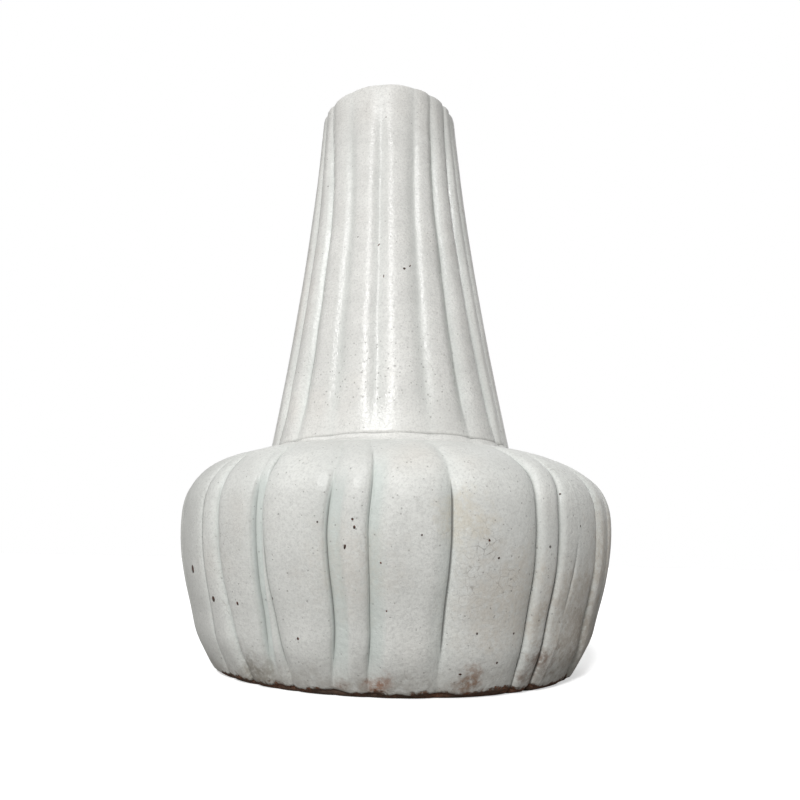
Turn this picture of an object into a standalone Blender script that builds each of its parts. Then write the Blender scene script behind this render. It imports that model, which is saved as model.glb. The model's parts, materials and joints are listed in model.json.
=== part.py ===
"""A fluted stoneware bottle vase: a low lobed body, a long tapering neck and a grey-white glaze.

The vase stands on its turned foot ring at z = 0, with the body's axis on Z.  Every piece is a loft
through rings of points.  A ring on the body or the neck follows the outline of that part, pushed in
where the flutes are pressed, so clay and glaze keep the same flutes and the same clearance.
"""
import math

import bmesh
import bpy
from mathutils import Matrix, Vector

MM = 0.001

# Clearance between touching pieces.
GAP = 0.3 * MM

# Body: crest radius and height of the belly, and how far the wall tucks in towards the foot.
BELLY_RADIUS = 97.2 * MM
BELLY_HEIGHT = 61.0 * MM
FOOT_TUCK = 19.0 * MM
TUCK_POWER = 1.8

# Shoulder: one quarter of a superellipse that starts at the belly and would close over it at a
# crown, a little inside the mouth that the neck stands round.
SHOULDER_RISE = 30.5 * MM
SHOULDER_POWER = 2.6
CROWN_INSET = 8.8 * MM

# Walls, from the glazed crest outside to the glazed lining inside, and the glaze coats.
BODY_WALL = 9.0 * MM
NECK_WALL = 6.5 * MM
GLAZE = 0.8 * MM
LINING = 0.6 * MM

# Foot ring and floor, with both widths measured in from the crest at the foot.
FOOT_HEIGHT = 5.0 * MM
FOOT_WIDTH = 18.2 * MM
FOOT_BEVEL = 1.0 * MM
FLOOR_THICKNESS = 8.0 * MM
FLOOR_EDGE_INSET = 7.2 * MM
FLOOR_COIL_WIDTH = 8.0 * MM

# Neck: it stands a little off the body's axis and leans the same way.  The slip under it is
# thinnest on the side that the neck leans to.
NECK_LENGTH = 186.6 * MM
NECK_BASE_RADIUS = 57.8 * MM
NECK_RIM_RADIUS = 36.7 * MM
NECK_BASE_TAPER = 0.164
NECK_SHIFT = -3.8 * MM
NECK_LEAN = math.radians(1.65)
MOUTH_LEDGE = 11.8 * MM
SLIP_THICKNESS = 0.5 * MM
SLIP_BEAD = 3.9 * MM
SLIP_ROLL = 1.2 * MM
NECK_COIL_HEIGHT = 6.0 * MM
LIP_ROUND = 1.4 * MM
LIP_DEPTH = 4.0 * MM

# Lobes round the body, as (width in degrees, depth in mm of the crease before it).
FIRST_BODY_CREASE = -48.5
BODY_LOBES = (
    (7.0, 3.6), (13.0, 3.0), (15.5, 2.6), (8.0, 2.8), (15.5, 2.4), (18.5, 3.2), (7.0, 3.8),
    (16.5, 3.8), (13.0, 4.4), (8.0, 3.4), (17.0, 3.0), (7.0, 3.8), (14.0, 3.2), (18.0, 2.8),
    (8.0, 3.4), (13.0, 3.8), (16.0, 2.8), (6.0, 3.2), (15.0, 3.6), (11.0, 2.6), (19.0, 3.0),
    (8.0, 3.8), (14.0, 3.4), (9.0, 2.8), (16.0, 3.4), (7.0, 3.0), (20.0, 3.6), (20.0, 3.2),
)

# Panels round the neck, in the same form.
FIRST_NECK_CREASE = -60.0
NECK_PANELS = (
    (17.0, 1.5), (17.5, 1.7), (20.5, 0.9), (21.0, 0.7), (18.0, 0.9), (19.0, 1.7), (13.0, 2.1),
    (17.0, 1.7), (21.0, 1.3), (15.0, 1.8), (19.0, 1.1), (22.0, 1.6), (16.0, 1.0), (18.0, 1.7),
    (21.0, 1.3), (17.0, 0.9), (15.0, 1.8), (20.0, 1.2), (18.0, 1.6), (15.0, 1.0),
)
NARROW_LOBE = 10.0
BODY_LOBE_POWER = 2.6
NECK_PANEL_POWER = 2.0

# Levels on the body: -1 is the foot, 0 the belly and 1 the crown of the shoulder.
WALL_LEVELS = (-0.74, -0.42, -0.1, 0.14, 0.3, 0.45, 0.6)
LINING_LEVELS = (-0.62, -0.25, 0.1, 0.35, 0.6)
SHIFT_LEVELS = (0.25, 0.75)
FLUTE_FADE_LEVELS = (0.18, 0.66)
FOOT_FADE_LEVELS = (-1.0, -0.78)
FOOT_FLUTE = 0.45
COIL_CREST = 0.02

# Shares of the neck's length, and how much of the flutes is left at its foot.
NECK_STEPS = (0.07, 0.36, 0.68)
NECK_FADE = 0.14
NECK_FOOT_FLUTE = 0.35

FLOOR_SECTIONS = 40
BISECTIONS = 40
SHARP_ANGLE = math.radians(40.0)

MOUTH_RADIUS = NECK_BASE_RADIUS - MOUTH_LEDGE
SHOULDER_REACH = BELLY_RADIUS - MOUTH_RADIUS + CROWN_INSET
FOOT_INNER_RADIUS = BELLY_RADIUS - FOOT_TUCK - FOOT_WIDTH
FLOOR_RADIUS = BELLY_RADIUS - FOOT_TUCK - FLOOR_EDGE_INSET

CLAY = (0.30, 0.17, 0.10)
GLAZE_WHITE = (0.60, 0.61, 0.57)


def smooth_step(low, high, value):
    t = min(max((value - low) / (high - low), 0.0), 1.0)
    return t * t * (3.0 - 2.0 * t)


def flute_sections(first, lobes, power):
    """Azimuths round a fluted part, each with how deep the flutes are pressed there."""
    turn = 2.0 * math.pi / sum(width for width, _ in lobes)
    azimuth = math.radians(first)
    sections = []
    for index, (width, depth) in enumerate(lobes):
        next_depth = lobes[(index + 1) % len(lobes)][1]
        steps = (0.0, 0.5) if width < NARROW_LOBE else (0.0, 0.16, 0.5, 0.84)
        for step in steps:
            crease = depth + (next_depth - depth) * step
            press = crease * MM * abs(1.0 - 2.0 * step) ** power
            sections.append((azimuth + width * turn * step, press))
        azimuth += width * turn
    return sections


BODY_SECTIONS = flute_sections(FIRST_BODY_CREASE, BODY_LOBES, BODY_LOBE_POWER)
NECK_SECTIONS = flute_sections(FIRST_NECK_CREASE, NECK_PANELS, NECK_PANEL_POWER)
BODY_PLAIN = [(azimuth, 0.0) for azimuth, _ in BODY_SECTIONS]
NECK_PLAIN = [(azimuth, 0.0) for azimuth, _ in NECK_SECTIONS]
FLOOR_ROUND = [(2.0 * math.pi * i / FLOOR_SECTIONS, 0.0) for i in range(FLOOR_SECTIONS)]


def body_outline(level):
    """Radius and height of the glazed crest at a level."""
    if level < 0.0:
        return BELLY_RADIUS - FOOT_TUCK * (-level) ** TUCK_POWER, BELLY_HEIGHT * (1.0 + level)
    angle = level * math.pi / 2.0
    power = 2.0 / SHOULDER_POWER
    radius = BELLY_RADIUS - SHOULDER_REACH * (1.0 - math.cos(angle) ** power)
    return radius, BELLY_HEIGHT + SHOULDER_RISE * math.sin(angle) ** power


def body_normal(level):
    step = 0.001
    low_radius, low_height = body_outline(level - step)
    high_radius, high_height = body_outline(level + step)
    return Vector((high_height - low_height, low_radius - high_radius)).normalized()


def shoulder_level(radius):
    """Level at which the shoulder's crest has closed in to a radius."""
    share = 1.0 - (BELLY_RADIUS - radius) / SHOULDER_REACH
    return math.acos(share ** (SHOULDER_POWER / 2.0)) * 2.0 / math.pi


def foot_level(height):
    return height / BELLY_HEIGHT - 1.0


def glaze_top():
    """Level where the body's glaze ends, just outside the bead of slip."""
    return shoulder_level(NECK_BASE_RADIUS + SLIP_BEAD + GAP)


def body_flute(level):
    """Share of the flutes' depth: full on the belly, softer at the foot and none by the neck."""
    foot = FOOT_FLUTE + (1.0 - FOOT_FLUTE) * smooth_step(*FOOT_FADE_LEVELS, level)
    return foot * (1.0 - smooth_step(*FLUTE_FADE_LEVELS, level))


def body_centre(level):
    """The shoulder draws over towards the neck, which stands off the body's axis."""
    return NECK_SHIFT * smooth_step(*SHIFT_LEVELS, level)


def body_ring(level, offset, sections, height=None):
    """A ring along the body's outline, offset outwards; a given height makes its edge flat."""
    radius, crest_height = body_outline(level)
    normal = body_normal(level)
    points = []
    for azimuth, press in sections:
        push = offset - press * body_flute(level)
        if height is None:
            reach, z = radius + push * normal.x, crest_height + push * normal.y
        else:
            reach, z = radius + push / normal.x, height
        points.append((body_centre(level) + reach * math.sin(azimuth), -reach * math.cos(azimuth), z))
    return points


def flat_ring(radius, height, sections):
    return [(radius * math.sin(azimuth), -radius * math.cos(azimuth), height) for azimuth, _ in sections]


def seat_height():
    """Height on the neck's axis of the plane that the neck's foot is cut to."""
    bore = NECK_BASE_RADIUS - NECK_WALL + LINING + GAP
    clay_top = body_outline(shoulder_level(bore))[1] - GLAZE - GAP
    lean_drop = NECK_BASE_RADIUS * math.tan(NECK_LEAN)
    return clay_top + lean_drop + 2.0 * GAP + SLIP_THICKNESS


NECK_SEAT = Matrix.Translation((NECK_SHIFT, 0.0, seat_height()))
NECK_FRAME = NECK_SEAT @ Matrix.Rotation(-NECK_LEAN, 4, "Y")


def neck_radius(height):
    """Crest radius: a straight taper that eases off towards the rim."""
    straight = NECK_BASE_RADIUS - NECK_BASE_TAPER * height
    ease = NECK_RIM_RADIUS - NECK_BASE_RADIUS + NECK_BASE_TAPER * NECK_LENGTH
    return straight + ease * (height / NECK_LENGTH) ** 2


def neck_ring(height, offset, sections):
    """A ring round the neck, at a height above its seat."""
    fade = smooth_step(0.0, NECK_FADE, height / NECK_LENGTH)
    flute = NECK_FOOT_FLUTE + (1.0 - NECK_FOOT_FLUTE) * fade
    points = []
    for azimuth, press in sections:
        reach = neck_radius(height) + offset - press * flute
        point = Vector((reach * math.sin(azimuth), -reach * math.cos(azimuth), height))
        points.append(NECK_FRAME @ point)
    return points


def material(name, colour, roughness):
    finish = bpy.data.materials.new(name)
    finish.use_nodes = True
    shader = finish.node_tree.nodes["Principled BSDF"]
    shader.inputs["Base Color"].default_value = (*colour, 1.0)
    shader.inputs["Roughness"].default_value = roughness
    shader.inputs["Metallic"].default_value = 0.0
    return finish


def loft(name, rings, colour, roughness, capped=False):
    """A closed body through rings: joined end to end, or capped on its first and last ring.

    Each face's diagonal rises the same way round, so that nested skins crease alike.
    """
    mesh = bmesh.new()
    loops = [[mesh.verts.new(point) for point in ring] for ring in rings]
    pairs = list(zip(loops, loops[1:]))
    if not capped:
        pairs.append((loops[-1], loops[0]))
    for low, high in pairs:
        if low[0].co.z > high[0].co.z:
            low, high = high, low
        for i in range(len(low)):
            j = (i + 1) % len(low)
            mesh.faces.new((low[i], low[j], high[j]))
            mesh.faces.new((low[i], high[j], high[i]))
    if capped:
        mesh.faces.new(loops[0])
        mesh.faces.new(loops[-1])
    bmesh.ops.recalc_face_normals(mesh, faces=mesh.faces)
    data = bpy.data.meshes.new(name)
    mesh.to_mesh(data)
    mesh.free()
    data.shade_smooth()
    data.set_sharp_from_angle(angle=SHARP_ANGLE)
    data.materials.append(material(name, colour, roughness))
    piece = bpy.data.objects.new(name, data)
    bpy.context.scene.collection.objects.link(piece)
    return piece


def foot_ring():
    """The turned ring of bare clay that the vase stands on."""
    clay = -GLAZE - GAP
    top = foot_level(FOOT_HEIGHT)
    rings = [
        flat_ring(FOOT_INNER_RADIUS, FOOT_HEIGHT, BODY_SECTIONS),
        flat_ring(FOOT_INNER_RADIUS, FOOT_BEVEL, BODY_SECTIONS),
        flat_ring(FOOT_INNER_RADIUS + FOOT_BEVEL, 0.0, BODY_SECTIONS),
        body_ring(-1.0, clay - FOOT_BEVEL, BODY_SECTIONS, height=0.0),
        body_ring(foot_level(FOOT_BEVEL), clay, BODY_SECTIONS, height=FOOT_BEVEL),
        body_ring(top, clay, BODY_SECTIONS, height=FOOT_HEIGHT),
    ]
    return loft("foot_ring", rings, CLAY, 0.85)


def floor_slab():
    """The flat disc of clay inside the foot of the wall."""
    bottom = FOOT_HEIGHT + GAP
    rings = [
        flat_ring(FLOOR_RADIUS, bottom, FLOOR_ROUND),
        flat_ring(FLOOR_RADIUS, bottom + FLOOR_THICKNESS, FLOOR_ROUND),
    ]
    return loft("floor_slab", rings, CLAY, 0.85, capped=True)


def floor_top():
    return FOOT_HEIGHT + GAP + FLOOR_THICKNESS


def inside_level(offset, height):
    """Level at which the inside of the wall, at an offset from the crest, is at a height."""
    low, high = -1.0, 0.0
    for _ in range(BISECTIONS):
        middle = (low + high) / 2.0
        if body_outline(middle)[1] + offset * body_normal(middle).y < height:
            low = middle
        else:
            high = middle
    return high


def coil_foot_level():
    return inside_level(-BODY_WALL - GAP, floor_top() + GAP)


def coil_top_level():
    """Level of the floor coil's upper edge, as high up the wall as the coil is wide."""
    return coil_foot_level() + FLOOR_COIL_WIDTH / BELLY_HEIGHT


def coil_toe_radius():
    """Radius of the floor coil's inner edge, out on the floor."""
    level = coil_foot_level()
    wall_radius = body_outline(level)[0] - (BODY_WALL + GAP) * body_normal(level).x
    return wall_radius - FLOOR_COIL_WIDTH


def lining_levels():
    """Levels of the rings inside the wall, above the floor coil."""
    return [level for level in LINING_LEVELS if level > coil_top_level() + COIL_CREST]


def body_wall():
    """The pressed clay wall, from the foot ring up to the mouth that the neck stands over."""
    clay = -GLAZE - GAP
    bottom = FOOT_HEIGHT + GAP
    mouth = shoulder_level(MOUTH_RADIUS)
    rings = [body_ring(foot_level(bottom), clay, BODY_SECTIONS, height=bottom)]
    rings += [body_ring(level, clay, BODY_SECTIONS) for level in WALL_LEVELS + (glaze_top(), mouth)]
    rings.append(body_ring(mouth, -BODY_WALL, BODY_PLAIN))
    rings += [body_ring(level, -BODY_WALL, BODY_PLAIN) for level in reversed(lining_levels())]
    rings.append(body_ring(coil_top_level(), -BODY_WALL, BODY_PLAIN))
    rings.append(body_ring(inside_level(-BODY_WALL, floor_top()), -BODY_WALL, BODY_PLAIN))
    rings.append(flat_ring(FLOOR_RADIUS + GAP, floor_top(), BODY_PLAIN))
    rings.append(flat_ring(FLOOR_RADIUS + GAP, bottom, BODY_PLAIN))
    return loft("body_wall", rings, CLAY, 0.85)


def floor_seam_coil():
    """A coil of clay pressed into the corner of floor and wall."""
    skin = -BODY_WALL - GAP
    rings = [
        flat_ring(coil_toe_radius(), floor_top() + GAP, BODY_PLAIN),
        body_ring(coil_foot_level(), skin, BODY_PLAIN),
        body_ring(coil_top_level(), skin, BODY_PLAIN),
    ]
    return loft("floor_seam_coil", rings, CLAY, 0.85)


def body_lining():
    """The glaze inside the body: over the floor, up over the coil and along the wall."""
    skin = -BODY_WALL - GAP
    toe = coil_toe_radius() - GAP
    lowest = floor_top() + GAP
    over_coil = coil_top_level() + COIL_CREST
    levels = lining_levels() + [shoulder_level(MOUTH_RADIUS)]
    outside = [
        flat_ring(toe, lowest, BODY_PLAIN),
        body_ring(over_coil, skin - GAP, BODY_PLAIN),
    ]
    outside += [body_ring(level, skin, BODY_PLAIN) for level in levels]
    inside = [
        flat_ring(toe - LINING / 2.0, lowest + LINING, BODY_PLAIN),
        body_ring(over_coil, skin - GAP - LINING, BODY_PLAIN),
    ]
    inside += [body_ring(level, skin - LINING, BODY_PLAIN) for level in levels]
    rings = list(reversed(outside)) + inside
    return loft("body_lining", rings, GLAZE_WHITE, 0.3, capped=True)


def body_glaze():
    """The outer coat of the body, from just above the foot ring to the slip bead."""
    edge = FOOT_HEIGHT + 2.0 * GAP
    levels = WALL_LEVELS + (glaze_top(),)
    outside = [body_ring(foot_level(edge), 0.0, BODY_SECTIONS, height=edge)]
    outside += [body_ring(level, 0.0, BODY_SECTIONS) for level in levels]
    inside = [body_ring(foot_level(edge), -GLAZE, BODY_SECTIONS, height=edge)]
    inside += [body_ring(level, -GLAZE, BODY_SECTIONS) for level in levels]
    return loft("body_glaze", outside + list(reversed(inside)), GLAZE_WHITE, 0.25)


def neck_wall():
    """The fluted clay cone of the neck."""
    clay = -GLAZE - GAP
    bore = -NECK_WALL + LINING + GAP
    top = NECK_LENGTH - GLAZE - GAP
    heights = [0.0] + [NECK_LENGTH * step for step in NECK_STEPS] + [top]
    rings = [neck_ring(height, clay, NECK_SECTIONS) for height in heights]
    rings += [neck_ring(height, bore, NECK_PLAIN) for height in (top, NECK_LENGTH * NECK_STEPS[1], 0.0)]
    return loft("neck_wall", rings, CLAY, 0.85)


def neck_glaze():
    """The outer coat of the neck, folded over the lip and a little way into the mouth."""
    under_lip = NECK_LENGTH - GLAZE
    round_off = NECK_LENGTH - LIP_ROUND
    heights = [NECK_LENGTH * step for step in NECK_STEPS]
    outside = [neck_ring(height, 0.0, NECK_SECTIONS) for height in [0.0] + heights + [round_off]]
    lip = [
        neck_ring(NECK_LENGTH, -LIP_ROUND, NECK_SECTIONS),
        neck_ring(NECK_LENGTH, -NECK_WALL + LIP_ROUND, NECK_PLAIN),
        neck_ring(round_off, -NECK_WALL, NECK_PLAIN),
        neck_ring(NECK_LENGTH - LIP_DEPTH, -NECK_WALL, NECK_PLAIN),
        neck_ring(NECK_LENGTH - LIP_DEPTH, -NECK_WALL + LINING, NECK_PLAIN),
        neck_ring(under_lip, -NECK_WALL + LINING, NECK_PLAIN),
    ]
    inside = [neck_ring(height, -GLAZE, NECK_SECTIONS) for height in [0.0] + heights + [under_lip]]
    return loft("neck_glaze", outside + lip + list(reversed(inside)), GLAZE_WHITE, 0.25)


def neck_seam_slip():
    """The slip that beds the neck on the shoulder and stands out as a bead round the seam."""
    clay = -GLAZE - GAP
    inner = NECK_BASE_RADIUS - NECK_WALL + LINING + GAP
    outer = NECK_BASE_RADIUS + SLIP_BEAD
    rings = [
        body_ring(shoulder_level(inner), clay + GAP, NECK_PLAIN),
        body_ring(shoulder_level(outer), clay + GAP, NECK_PLAIN),
        body_ring(shoulder_level(outer), GLAZE / 2.0, NECK_PLAIN),
        neck_ring(-GAP - GLAZE, SLIP_ROLL, NECK_PLAIN),
        neck_ring(-GAP, GAP, NECK_PLAIN),
        neck_ring(-GAP, inner - NECK_BASE_RADIUS, NECK_PLAIN),
    ]
    return loft("neck_seam_slip", rings, GLAZE_WHITE, 0.3)


def neck_seam_coil():
    """A coil of clay pressed into the seam inside the neck, on the ledge round the mouth."""
    edge = NECK_BASE_RADIUS - NECK_WALL + LINING - GAP
    rings = [
        body_ring(shoulder_level(MOUTH_RADIUS + GAP), -GLAZE, NECK_PLAIN),
        body_ring(shoulder_level(edge), -GLAZE, NECK_PLAIN),
        neck_ring(NECK_COIL_HEIGHT, -NECK_WALL + LINING - GAP, NECK_PLAIN),
    ]
    return loft("neck_seam_coil", rings, CLAY, 0.85)


def neck_lining():
    """The glaze down the inside of the neck, from under the lip to the inner coil."""
    bottom = NECK_COIL_HEIGHT + 2.0 * GAP
    top = NECK_LENGTH - LIP_DEPTH - GAP
    heights = (bottom, NECK_LENGTH * NECK_STEPS[1], top)
    outside = [neck_ring(height, -NECK_WALL + LINING, NECK_PLAIN) for height in heights]
    inside = [neck_ring(height, -NECK_WALL, NECK_PLAIN) for height in heights]
    return loft("neck_lining", outside + list(reversed(inside)), GLAZE_WHITE, 0.3)


def main():
    for existing in list(bpy.data.objects):
        bpy.data.objects.remove(existing, do_unlink=True)
    foot_ring()
    floor_slab()
    body_wall()
    floor_seam_coil()
    neck_wall()
    neck_seam_slip()
    neck_seam_coil()
    body_glaze()
    neck_glaze()
    body_lining()
    neck_lining()


main()
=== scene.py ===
"""Looks of a fluted stoneware bottle vase: pleated walls, glaze, seam, bare foot and linings.

The walls are lofted by one node tree.  It takes a wire of turned rows and a ring of pressed creases,
and pushes the rows in along the creases, so that clay and glaze share the same flutes.
"""

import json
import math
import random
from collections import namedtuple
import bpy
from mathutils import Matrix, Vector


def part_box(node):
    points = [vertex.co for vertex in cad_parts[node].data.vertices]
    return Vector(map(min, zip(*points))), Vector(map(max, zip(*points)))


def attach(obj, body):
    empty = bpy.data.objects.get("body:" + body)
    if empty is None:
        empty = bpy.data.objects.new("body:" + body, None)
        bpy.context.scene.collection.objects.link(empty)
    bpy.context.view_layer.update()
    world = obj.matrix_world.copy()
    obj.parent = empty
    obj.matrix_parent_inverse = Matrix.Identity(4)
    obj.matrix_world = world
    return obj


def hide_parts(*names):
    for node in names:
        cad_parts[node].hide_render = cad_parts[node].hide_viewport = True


bl_info = {
    "name": "Fluted bottle vase",
    "version": (1, 0, 0),
    "blender": (4, 5, 0),
    "location": "3D View > Sidebar > Vase",
    "description": "Builds the pleated walls, the glaze, the seam, the bare foot and the linings of a vase",
    "category": "Object",
}

import bmesh
import bpy
from bpy.props import FloatProperty, FloatVectorProperty, IntProperty, PointerProperty
from mathutils import Euler, Matrix, Vector
from mathutils.bvhtree import BVHTree

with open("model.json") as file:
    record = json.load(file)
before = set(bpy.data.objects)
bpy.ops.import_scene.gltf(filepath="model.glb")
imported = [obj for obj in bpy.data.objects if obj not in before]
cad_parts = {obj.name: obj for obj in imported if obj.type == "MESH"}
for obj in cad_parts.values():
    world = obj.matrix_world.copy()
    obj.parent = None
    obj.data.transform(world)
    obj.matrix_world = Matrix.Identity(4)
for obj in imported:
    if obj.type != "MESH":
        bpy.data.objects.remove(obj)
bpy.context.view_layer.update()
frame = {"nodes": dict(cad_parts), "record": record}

MM = 0.001
BODY = "root"

RIM_MOUNT = next(mount for mount in frame["record"]["mounts"] if mount["name"] == "rim_face")
NECK_LEAN = math.atan2(-RIM_MOUNT["axis"][0], RIM_MOUNT["axis"][2])
RIM_CENTRE = Vector((RIM_MOUNT["pos_m"][0], 0.0, RIM_MOUNT["pos_m"][2]))


# ---- settings

def length(name, description, default):
    return FloatProperty(name=name, description=description, default=default, unit="LENGTH", min=0.0)


def colour(name, description, default):
    return FloatVectorProperty(
        name=name, description=description, default=default, subtype="COLOR", min=0.0, max=1.0, size=3)


class VaseSizes(bpy.types.PropertyGroup):
    """Sizes of the thrown and pressed forms"""

    belly_radius: length("Belly radius", "Crest radius of the widest part", 97.2 * MM)
    belly_height: length("Belly height", "Height of the widest part above the foot", 61.0 * MM)
    foot_tuck: length("Foot tuck", "How far the wall draws in from the belly to the foot", 19.0 * MM)
    crown_radius: length("Crown radius", "Radius that the shoulder would close in to", 37.2 * MM)
    shoulder_rise: length("Shoulder rise", "Height of the shoulder's crown above the belly", 30.5 * MM)
    body_wall: length("Body wall", "Wall of the body, glaze and lining included", 9.0 * MM)
    neck_base_radius: length("Neck base radius", "Crest radius of the neck at the seam", 57.8 * MM)
    neck_rim_radius: length("Rim radius", "Crest radius of the neck at the rim", 36.7 * MM)
    neck_length: length("Neck length", "Length of the neck along its own axis", 186.6 * MM)
    neck_wall: length("Neck wall", "Wall of the neck, glaze and lining included", 6.5 * MM)
    glaze: length("Glaze", "Thickness of the outer glaze", 0.8 * MM)
    lining: length("Lining", "Thickness of the glaze inside", 0.6 * MM)
    clearance: length("Clearance", "Gap kept between neighbouring skins", 0.3 * MM)
    foot_inner_radius: length("Foot inner radius", "Inner radius of the foot ring", 60.0 * MM)
    foot_height: length("Foot height", "Height of the foot ring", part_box("foot_ring")[1].z)
    mouth_radius: length("Mouth radius", "Radius of the opening under the neck", 46.0 * MM)
    columns: IntProperty(
        name="Columns", description="Faces across each lobe of the outer glaze", default=16, min=4)


class VaseColours(bpy.types.PropertyGroup):
    """Colours of the glaze and the clay"""

    neck_glaze: colour("Neck glaze", "Thin, bright glaze on the neck", (0.79, 0.785, 0.755))
    body_glaze: colour("Body glaze", "Greyer glaze on the body", (0.76, 0.765, 0.735))
    pooled: colour("Pooled glaze", "Glaze where it lies thick in the creases", (0.60, 0.665, 0.635))
    # Painted shade: the crease colour darkens the roots of the creases, where shadow falls.
    crease: colour("Crease shadow", "Dirt and shadow at the root of a crease", (0.035, 0.032, 0.028))
    warm: colour("Warm tint", "Clay that warms the thin glaze on the crests", (0.62, 0.53, 0.45))
    speck: colour("Iron speck", "Iron specks in the glaze", (0.045, 0.03, 0.022))
    clay: colour("Bare clay", "Unglazed clay of the foot", (0.11, 0.072, 0.05))
    rust: colour("Rust", "Bright rusty clay at the edge of the glaze", (0.24, 0.105, 0.058))


class StageSettings(bpy.types.PropertyGroup):
    """Camera and light"""

    lens: FloatProperty(name="Lens", description="Focal length in mm", default=27.8, min=1.0)
    distance: length("Distance", "From the camera to the body's axis", 299.7 * MM)
    eye_height: length("Eye height", "Height of the camera above the foot", 43.8 * MM)
    pitch: FloatProperty(
        name="Pitch", description="Upward tilt of the camera", default=math.radians(14.7), subtype="ANGLE")
    roll: FloatProperty(
        name="Roll", description="Roll of the camera", default=math.radians(1.3), subtype="ANGLE")
    key: FloatProperty(name="Key light", description="Strength of the main light", default=2.45, min=0.0)
    key_spread: FloatProperty(
        name="Key spread", description="Apparent size of the main light", default=math.radians(8.0),
        subtype="ANGLE")
    side: FloatProperty(name="Side light", description="Strength of the light on the left", default=0.5,
                        min=0.0)
    top: FloatProperty(name="Top light", description="Strength of the light overhead", default=0.3, min=0.0)
    back: FloatProperty(name="Back light", description="Strength of the light behind", default=0.75,
                        min=0.0)
    sky: FloatProperty(name="Sky", description="Strength of the even light", default=0.13, min=0.0)


# ---- node helpers

class Term:
    """A value in a node tree.  Sums and products of terms add the nodes that work them out."""

    def __init__(self, tree, socket):
        self.tree = tree
        self.socket = socket

    def apply(self, operation, *others):
        node = self.tree.nodes.new("ShaderNodeMath")
        node.operation = operation
        for place, value in enumerate((self, *others)):
            plug(self.tree, value, node.inputs[place])
        return Term(self.tree, node.outputs[0])

    def __add__(self, other):
        return self.apply("ADD", other)

    def __sub__(self, other):
        return self.apply("SUBTRACT", other)

    def __mul__(self, other):
        return self.apply("MULTIPLY", other)

    def __truediv__(self, other):
        return self.apply("DIVIDE", other)

    def flipped(self):
        """One minus the value."""
        return self * -1.0 + 1.0

    def beside(self, name):
        """Another output of the node that the value comes from."""
        return Term(self.tree, self.socket.node.outputs[name])

    def blend(self, other, share):
        """The value where share is 0, and the other where it is 1."""
        return self + (other - self) * share

    def ramp(self, low, high, to_low=0.0, to_high=1.0, smooth=True):
        node = self.tree.nodes.new("ShaderNodeMapRange")
        node.interpolation_type = "SMOOTHSTEP" if smooth else "LINEAR"
        for name, value in (("Value", self), ("From Min", low), ("From Max", high),
                            ("To Min", to_low), ("To Max", to_high)):
            plug(self.tree, value, node.inputs[name])
        return Term(self.tree, node.outputs["Result"])


def plug(tree, value, socket):
    if isinstance(value, Term):
        tree.links.new(value.socket, socket)
    else:
        socket.default_value = value


def add(tree, kind, inputs=None, output=0, **settings):
    """Adds a node with its settings and inputs, and returns one of its outputs as a term."""
    node = tree.nodes.new(kind)
    for name, value in settings.items():
        setattr(node, name, value)
    for name, value in (inputs or {}).items():
        plug(tree, value, node.inputs[name])
    return Term(tree, node.outputs[output])


def socket_of(tree, name, kind, direction="INPUT", default=None):
    made = tree.interface.new_socket(name=name, in_out=direction, socket_type=kind)
    if default is not None:
        made.default_value = default


def inputs_of(tree):
    """The tree's own inputs as terms, by name."""
    group = tree.nodes.new("NodeGroupInput")
    return {socket.name: Term(tree, socket) for socket in group.outputs if socket.name}


# ---- the pleating

Row = namedtuple("Row", "radius height out up level press centre lean drift sway over ragged")
Crease = namedtuple("Crease", "azimuth drift sway over valley cut width channel reach bottom top")

FLOAT_SOCKET = "NodeSocketFloat"
INT_SOCKET = "NodeSocketInt"
GEOMETRY_SOCKET = "NodeSocketGeometry"
MATERIAL_SOCKET = "NodeSocketMaterial"

# How square the lobes are, the width at which they stand full, how soft their tops are, how far the
# creases wander, the height and scale of the lumps, the rise of a ragged edge, and the lean of the neck.
PLEAT_DEFAULTS = {
    "Arch Power": 2.4, "Full Lobe": 0.012, "Softness": 0.3, "Waver": 0.0, "Lump Height": 0.0003,
    "Lump Scale": 28.0, "Ragged Height": 0.0, "Lean": 0.0,
}
WAVER_LENGTH = 1.0 / 26.0
BUNCHING = 0.75         # how far the columns crowd towards the creases
RUN_IN = 0.3            # levels over which a cut fades in at its lower end
RUN_OUT = 0.34          # and out at its upper end
CHANNEL_FLOOR = 0.72    # share of the reach at which a channel's bank starts
CHANNEL_BANK = 1.12     # and at which it ends
MERGE_DISTANCE = 0.01 * MM
POOL_PER_CHANNEL, POOL_PER_CUT, POOL_PER_VALLEY = 620.0, 330.0, 150.0


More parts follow.
